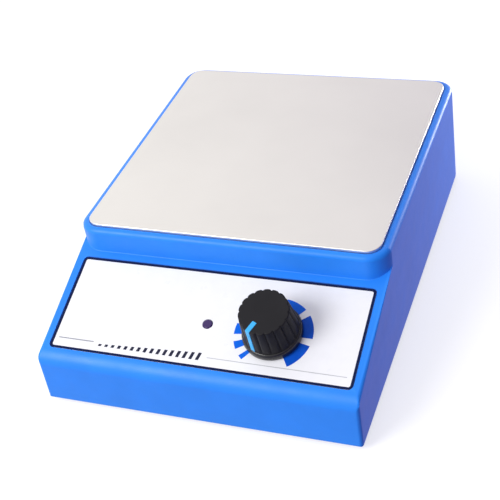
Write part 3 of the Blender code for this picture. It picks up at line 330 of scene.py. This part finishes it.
def refine(node, rounding=EDGE_ROUNDING):
    """Stands in for a CAD node: the same shape with its triangles merged to faces and its edges rounded."""
    bm = bmesh.new()
    bm.from_mesh(frame["nodes"][node].data)
    bmesh.ops.remove_doubles(bm, verts=bm.verts, dist=WELD_DISTANCE)
    bmesh.ops.dissolve_limit(bm, angle_limit=FLAT_ANGLE, verts=bm.verts, edges=bm.edges)
    slot = slot_of(node)
    obj = piece(f"{node}_finish", bm, slot, body_of(node), replaced=(node,))
    soften(obj, rounding)
    keep_flats_flat(obj)


# ---------------------------------------------------------------- outlines


def arc(centre, radius, start, end, steps):
    """Points on an arc, with its angles in degrees."""
    angles = [math.radians(start + (end - start) * i / steps) for i in range(steps + 1)]
    return [(centre[0] + radius * math.cos(a), centre[1] + radius * math.sin(a)) for a in angles]


def rounded_rectangle(width, height, radius, steps=10):
    x, y = width / 2 - radius, height / 2 - radius
    outline = []
    for index, centre in enumerate(((x, y), (-x, y), (-x, -y), (x, -y))):
        outline += arc(centre, radius, 90 * index, 90 * index + 90, steps)
    return outline


def add_slab(bm, outline, low, high, place):
    """A closed slab on an outline, from low to high in the frame."""
    bottom = [bm.verts.new(place @ Vector((x, y, low))) for x, y in outline]
    top = [bm.verts.new(place @ Vector((x, y, high))) for x, y in outline]
    bm.faces.new(bottom[::-1])
    bm.faces.new(top)
    for i, vert in enumerate(bottom):
        after = (i + 1) % len(outline)
        bm.faces.new((vert, bottom[after], top[after], top[i]))


def add_rings(bm, rings):
    """Faces between closed rings of points, each with as many points. Returns the rings of vertices."""
    made = [[bm.verts.new(point) for point in ring] for ring in rings]
    count = len(made[0])
    for below, above in zip(made, made[1:]):
        for i in range(count):
            after = (i + 1) % count
            bm.faces.new((below[i], below[after], above[after], above[i]))
    return made


# ---------------------------------------------------------------- the printed film

INK_LOW, INK_HIGH = -0.02 * MM, 0.03 * MM
INK_ANGLE = 30.0
BORDER = 1.0 * MM
FILM_CORNER = 1.8 * MM
WHITE_WIDTH = FILM_WIDTH - 2 * BORDER
WHITE_HEIGHT = FILM_HEIGHT - 2 * BORDER
KNOB_ON_FILM = FILM.inverted() @ KNOB.translation

# Scale round the knob: its radii, then its angles in degrees clockwise from straight up the slope
SCALE_INNER, SCALE_OUTER = 10.8 * MM, 15.0 * MM
SCALE_START = -143.0
WEDGE_FIRST, WEDGE_STEP, WEDGE_GAP = 8.0, 5.1, 11.7
# The last two wedges, on the knob's shaded side, get the darker ink as painted shade
WEDGE_INKS = ("scale_ink",) * 6 + ("scale_ink_painted_shade",) * 2

# Rises are measured from the lower edge of the film's white part
LINE_RISE = 3.6 * MM
LINES = (  # name, left end, right end, half the line's width, ink
    ("left", -57.4 * MM, -42.5 * MM, 0.23 * MM, "line_ink"),
    ("right", 4.0 * MM, 57.1 * MM, 0.15 * MM, "faint_ink"),
)
TICKS = 16
TICK_RISE = 2.1 * MM
FIRST_TICK, TICK_PITCH, TICK_WIDTH = -40.2 * MM, 2.66 * MM, 1.25 * MM
TICK_HEIGHT, TICK_GROWTH = 0.9, 2.2  # the first one's height and what the last one adds, in millimetres
TICK_SLANT = 0.22


def printed(name, outlines, finish):
    """Flat ink shapes on the film's face."""
    bm = bmesh.new()
    for outline in outlines:
        add_slab(bm, outline, INK_LOW, INK_HIGH, FILM)
    piece(name, bm, finish, "housing", angle=INK_ANGLE)


def print_border():
    """The dark border round the film, from its outer edge inward."""
    outer = rounded_rectangle(FILM_WIDTH, FILM_HEIGHT, FILM_CORNER)
    inner = rounded_rectangle(WHITE_WIDTH, WHITE_HEIGHT, FILM_CORNER - BORDER)
    bm = bmesh.new()
    levels = ((outer, INK_LOW), (outer, INK_HIGH), (inner, INK_HIGH), (inner, INK_LOW), (outer, INK_LOW))
    rings = [[FILM @ Vector((x, y, level)) for x, y in outline] for outline, level in levels]
    add_rings(bm, rings)
    bmesh.ops.remove_doubles(bm, verts=bm.verts, dist=WELD_DISTANCE)
    piece("printed_border", bm, "border_ink", "housing", angle=INK_ANGLE)


def print_scale():
    """Wedges that grow clockwise round the knob, each wider than the one before."""
    centre = (KNOB_ON_FILM.x, KNOB_ON_FILM.y)
    clockwise = SCALE_START
    for index, finish in enumerate(WEDGE_INKS):
        width = WEDGE_FIRST + WEDGE_STEP * index
        start, end = 90.0 - clockwise, 90.0 - clockwise - width
        steps = 4 + 2 * index
        outline = arc(centre, SCALE_OUTER, end, start, steps) + arc(centre, SCALE_INNER, start, end, steps)
        printed(f"scale_wedge_{index + 1}", [outline], finish)
        clockwise += width + WEDGE_GAP


def print_lines():
    """The two thin lines near the film's lower edge, and slanted ticks that rise between them."""
    line_y = -WHITE_HEIGHT / 2 + LINE_RISE
    for name, left, right, half, finish in LINES:
        low, high = line_y - half, line_y + half
        printed(f"printed_line_{name}", [[(left, low), (right, low), (right, high), (left, high)]], finish)
    base = -WHITE_HEIGHT / 2 + TICK_RISE
    outlines = []
    for index in range(TICKS):
        left = FIRST_TICK + index * TICK_PITCH
        right = left + TICK_WIDTH
        tall = (TICK_HEIGHT + TICK_GROWTH * index / (TICKS - 1)) * MM
        lean = TICK_SLANT * tall
        top = base + tall
        outlines.append([(left, base), (right, base), (right + lean, top), (left + lean, top)])
    printed("printed_ticks", outlines, "mark_ink")


# ---------------------------------------------------------------- the knob

KNOB_POINTS = points_of("speed_knob", KNOB)
KNOB_TOP = max(point.z for point in KNOB_POINTS)
KNOB_BOTTOM = min(point.z for point in KNOB_POINTS)
SKIRT_RADIUS = max(point.xy.length for point in KNOB_POINTS)
SKIRT_TOP = 3.2 * MM
SKIRT_EDGE, SKIRT_CHAMFER = 0.9 * MM, 0.15 * MM
SKIRT_STEPS = 8
TOP_RADIUS, WAIST_RADIUS = 9.45 * MM, 10.6 * MM
TOP_ROUNDING, TOP_STEPS = 0.45 * MM, 5
TOP_RIM = 1.2 * MM
HOLLOW_RADIUS, HOLLOW_TOP = 7.4 * MM, 3.5 * MM
LOBES = 18
LOBE_POINTS = 12
LOBE_DEPTH = 0.55 * MM
GROOVE_POWER = 2.2
POINTER_TURN = math.radians(247.0)
POINTER_ROUNDING = 0.12 * MM
KNOB_ANGLE = 50.0
# (share of the way up the grip, share of the grooves' full depth) of each ring on its side
GROOVE_DEPTHS = ((0.02, 0.3), (0.05, 0.75), (0.1, 1.0), (0.35, 1.0), (0.6, 1.0), (0.85, 1.0))
GRIP_INSET, GRIP_SINK = 0.2 * MM, 0.3 * MM


def knob_ring(radius, height, depth):
    """A ring of rounded lobes with narrow grooves between them, or a circle where depth is 0."""
    points = []
    for i in range(LOBES * LOBE_POINTS):
        angle = 2 * math.pi * i / (LOBES * LOBE_POINTS)
        across = abs(math.sin(LOBES * angle / 2))
        reach = radius - depth * (1.0 - across) ** GROOVE_POWER
        spot = (reach * math.cos(angle + POINTER_TURN), reach * math.sin(angle + POINTER_TURN), height)
        points.append(KNOB @ Vector(spot))
    return points


def side_radius(height):
    """The grip's radius over its lobes, at a height above the skirt."""
    share = (height - SKIRT_TOP) / (KNOB_TOP - SKIRT_TOP)
    return WAIST_RADIUS + (TOP_RADIUS - WAIST_RADIUS) * share


def skirt_levels():
    """(radius, height, lobe depth) of each ring, from the hollow underneath to the top of the skirt."""
    levels = [(HOLLOW_RADIUS, HOLLOW_TOP, 0.0), (HOLLOW_RADIUS, KNOB_BOTTOM, 0.0)]
    levels += [(SKIRT_RADIUS - SKIRT_CHAMFER, KNOB_BOTTOM, 0.0)]
    for step in range(SKIRT_STEPS + 1):
        turn = math.radians(90.0 * step / SKIRT_STEPS)
        radius = WAIST_RADIUS + (SKIRT_RADIUS - WAIST_RADIUS) * math.cos(turn)
        height = KNOB_BOTTOM + SKIRT_EDGE + (SKIRT_TOP - KNOB_BOTTOM - SKIRT_EDGE) * math.sin(turn)
        levels.append((radius, height, 0.0))
    return levels


def grip_levels():
    """The same for the grip, which starts a little way down inside the skirt."""
    levels = [(WAIST_RADIUS - GRIP_INSET, SKIRT_TOP - GRIP_SINK, 0.0)]
    for rise, depth in GROOVE_DEPTHS:
        height = SKIRT_TOP + rise * (KNOB_TOP - SKIRT_TOP)
        levels.append((side_radius(height), height, depth * LOBE_DEPTH))
    for step in range(TOP_STEPS + 1):
        turn = math.radians(90.0 * step / TOP_STEPS)
        radius = TOP_RADIUS - TOP_ROUNDING * (1.0 - math.cos(turn))
        levels.append((radius, KNOB_TOP - TOP_ROUNDING * (1.0 - math.sin(turn)), LOBE_DEPTH))
    levels.append((TOP_RADIUS - TOP_RIM, KNOB_TOP, 0.0))
    return levels


def make_knob():
    shapes = (
        ("knob_skirt_finish", skirt_levels(), "skirt_plastic"),
        ("knob_grip_finish", grip_levels(), "black_plastic"),
    )
    for name, levels, finish in shapes:
        bm = bmesh.new()
        rings = add_rings(bm, [knob_ring(*level) for level in levels])
        bm.faces.new(rings[0][::-1])
        bm.faces.new(rings[-1])
        piece(name, bm, finish, "knob", replaced=("speed_knob",), angle=KNOB_ANGLE)
    refine("knob_pointer", POINTER_ROUNDING)


# ---------------------------------------------------------------- stage, light and camera

FLOOR_REACH = 6.0
CAMERA_PLACE = (0.1543, -0.3343, 0.3017)
CAMERA_TURNS = (51.67, 8.11, 19.05)
CAMERA_LENS, CAMERA_SHIFT = 79.7, -0.016
SKY_TOWARDS = Vector((-0.8, -0.25, 0.45)).normalized()
SKY_VIOLET_AT, SKY_WHITE_AT = -0.3, 0.45
SKY_VIOLET, SKY_WHITE = (0.21, 0.16, 0.33, 1.0), (1.0, 1.0, 1.0, 1.0)


def add_floor():
    """A wide pale floor that shines a little by itself."""
    bm = bmesh.new()
    bmesh.ops.create_grid(bm, x_segments=1, y_segments=1, size=FLOOR_REACH)
    mesh = bpy.data.meshes.new("floor")
    bm.to_mesh(mesh)
    bm.free()
    floor = bpy.data.objects.new("floor", mesh)
    material = bpy.data.materials.new("floor_white")
    material.use_nodes = True
    shader = material.node_tree.nodes["Principled BSDF"]
    shader.inputs["Base Color"].default_value = (0.5, 0.5, 0.5, 1.0)
    shader.inputs["Emission Color"].default_value = (1.0, 1.0, 1.0, 1.0)
    shader.inputs["Emission Strength"].default_value = 0.6
    shader.inputs["Roughness"].default_value = 0.9
    shader.inputs["Specular IOR Level"].default_value = 0.0
    mesh.materials.append(material)
    # It neither lights the object nor is mirrored in it, so that the object's shaded side stays dark
    floor.visible_diffuse = False
    floor.visible_glossy = False
    bpy.context.scene.collection.objects.link(floor)


def add_light(name, place, target, size, watts):
    """A round soft light that points at a target and isn't seen itself."""
    data = bpy.data.lights.new(name, "AREA")
    data.shape = "DISK"
    data.size = size
    data.energy = watts
    light = bpy.data.objects.new(name, data)
    light.location = place
    light.visible_camera = False
    light.rotation_euler = (Vector(target) - Vector(place)).to_track_quat("-Z", "Y").to_euler()
    bpy.context.scene.collection.objects.link(light)


def add_sky():
    """A studio that is white on the left, in front and above, and violet on the other side."""
    world = bpy.data.worlds.new("studio")
    bpy.context.scene.world = world
    world.use_nodes = True
    tree = world.node_tree
    background = tree.nodes["Background"]
    direction = tree.nodes.new("ShaderNodeTexCoord").outputs["Generated"]
    facing = tree.nodes.new("ShaderNodeVectorMath")
    facing.operation = "DOT_PRODUCT"
    facing.inputs[1].default_value = SKY_TOWARDS
    tree.links.new(direction, facing.inputs[0])
    ramp = tree.nodes.new("ShaderNodeMapRange")
    ramp.inputs["From Min"].default_value = SKY_VIOLET_AT
    ramp.inputs["From Max"].default_value = SKY_WHITE_AT
    tree.links.new(facing.outputs["Value"], ramp.inputs["Value"])
    tint = tree.nodes.new("ShaderNodeMix")
    tint.data_type = "RGBA"
    tint.inputs["A"].default_value = SKY_VIOLET
    tint.inputs["B"].default_value = SKY_WHITE
    tree.links.new(ramp.outputs["Result"], tint.inputs["Factor"])
    tree.links.new(tint.outputs["Result"], background.inputs["Color"])


def add_camera():
    data = bpy.data.cameras.new("camera")
    data.lens = CAMERA_LENS
    data.sensor_width = 36.0
    data.shift_x = CAMERA_SHIFT
    camera = bpy.data.objects.new("camera", data)
    camera.location = CAMERA_PLACE
    camera.rotation_euler = [math.radians(turn) for turn in CAMERA_TURNS]
    bpy.context.scene.collection.objects.link(camera)
    bpy.context.scene.camera = camera


add_camera()
add_sky()
add_light("key", place=(-0.38, -0.55, 0.5), target=(0.0, 0.0, 0.02), size=0.42, watts=4.3)
add_light("rear_right", place=(0.2, 0.34, 0.048), target=(0.064, 0.04, 0.02), size=0.08, watts=1.0)
add_floor()
bpy.context.scene.view_settings.view_transform = "Standard"

for cad_node in sorted(frame["nodes"]):
    if cad_node not in ("speed_knob", "knob_pointer"):
        refine(cad_node)
make_knob()
print_border()
print_scale()
print_lines()
